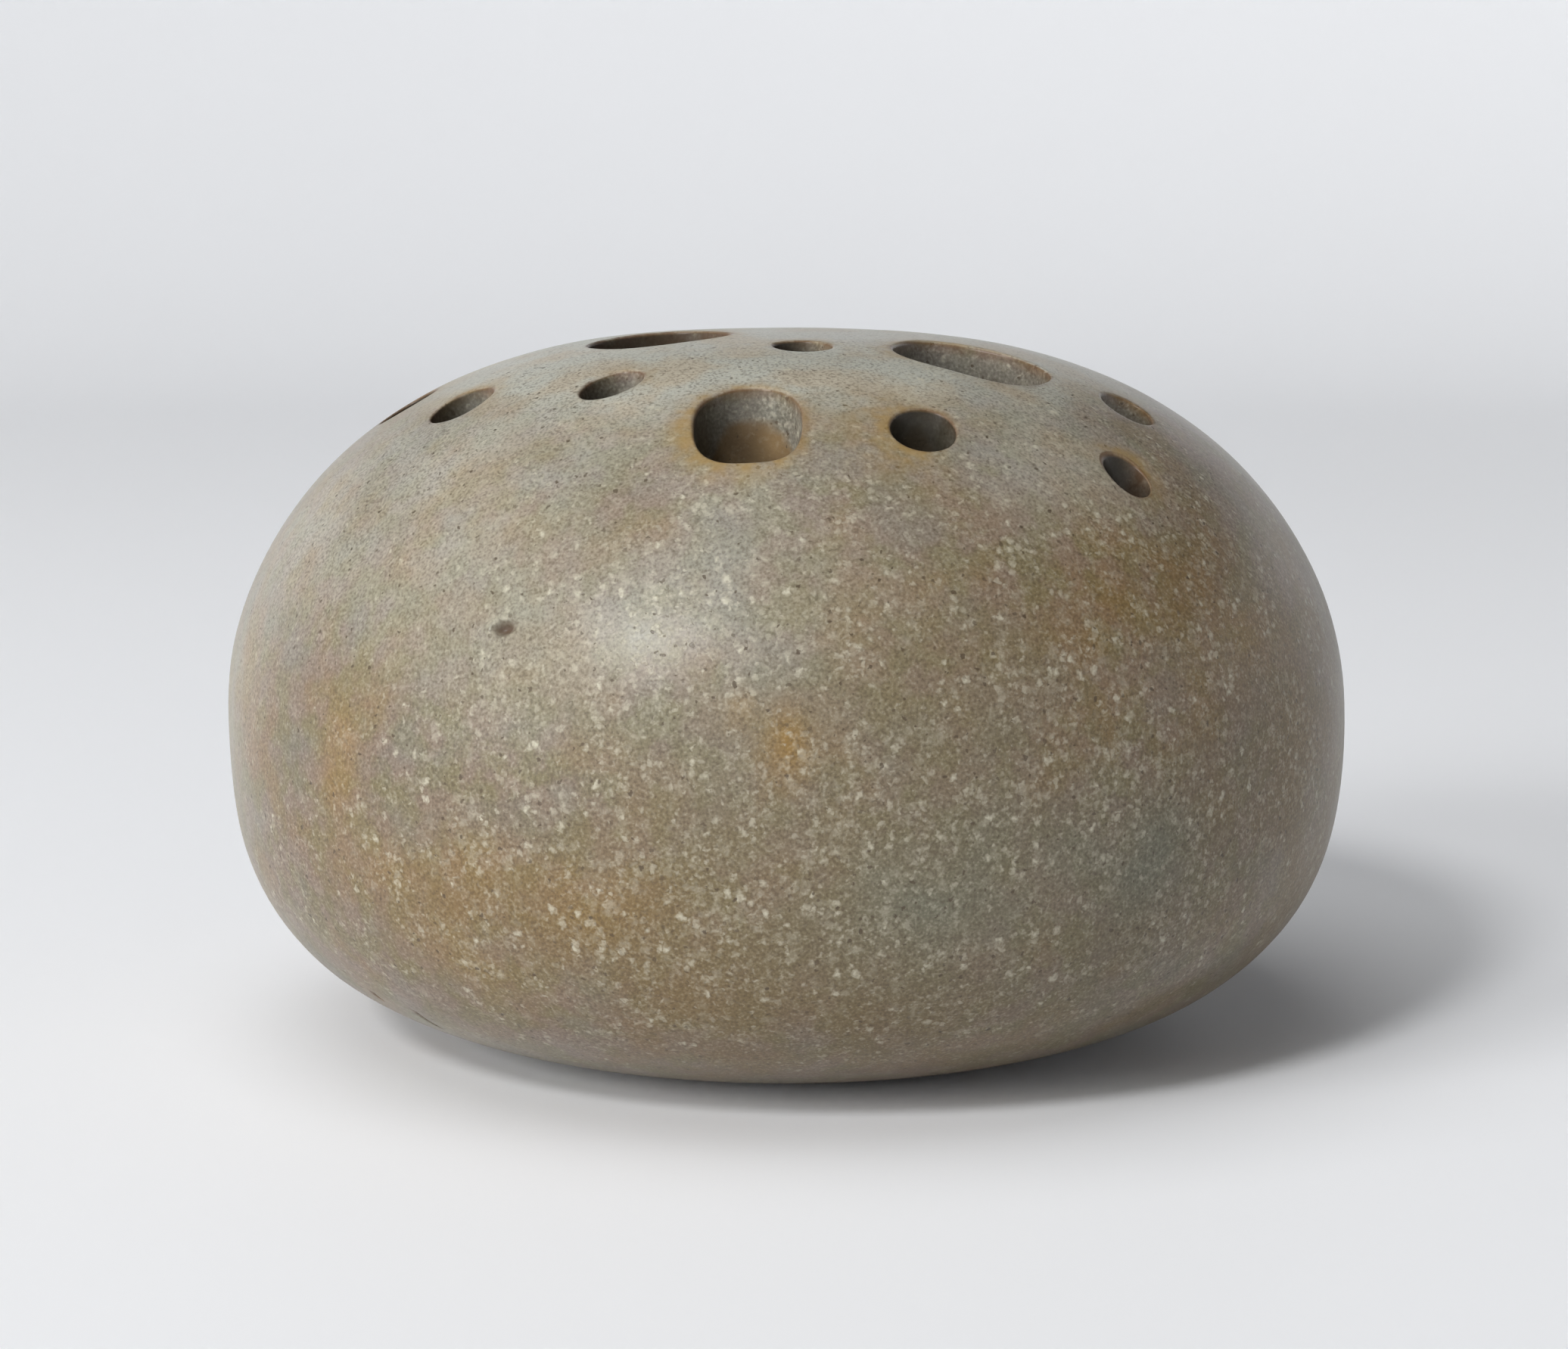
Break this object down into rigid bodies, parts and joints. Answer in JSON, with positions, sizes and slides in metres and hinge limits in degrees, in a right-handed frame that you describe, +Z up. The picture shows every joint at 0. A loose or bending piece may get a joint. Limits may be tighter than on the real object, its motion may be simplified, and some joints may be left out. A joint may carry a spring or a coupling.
{
  "type": "flower frog",
  "caption": "Hollow flattened stoneware pebble with round stem holes through its crown: it holds water and props cut flowers upright.",
  "frame": {"origin": "under the middle of the foot, on the plane that the foot ring rests on", "axes": "+Z up, -Y towards the front, where the lowest of the big stem holes is"},
  "size_m": [0.17, 0.17, 0.106],
  "materials": {
    "speckled_glaze": "satin, warm grey-beige with cream flecks, iron specks and rust-brown blushes",
    "bare_stoneware": "matt, unglazed, toasted buff"
  },
  "bodies": {
    "root": {"pierced_shell": "speckled_glaze", "base_slab": "bare_stoneware"}
  },
  "joints": []
}
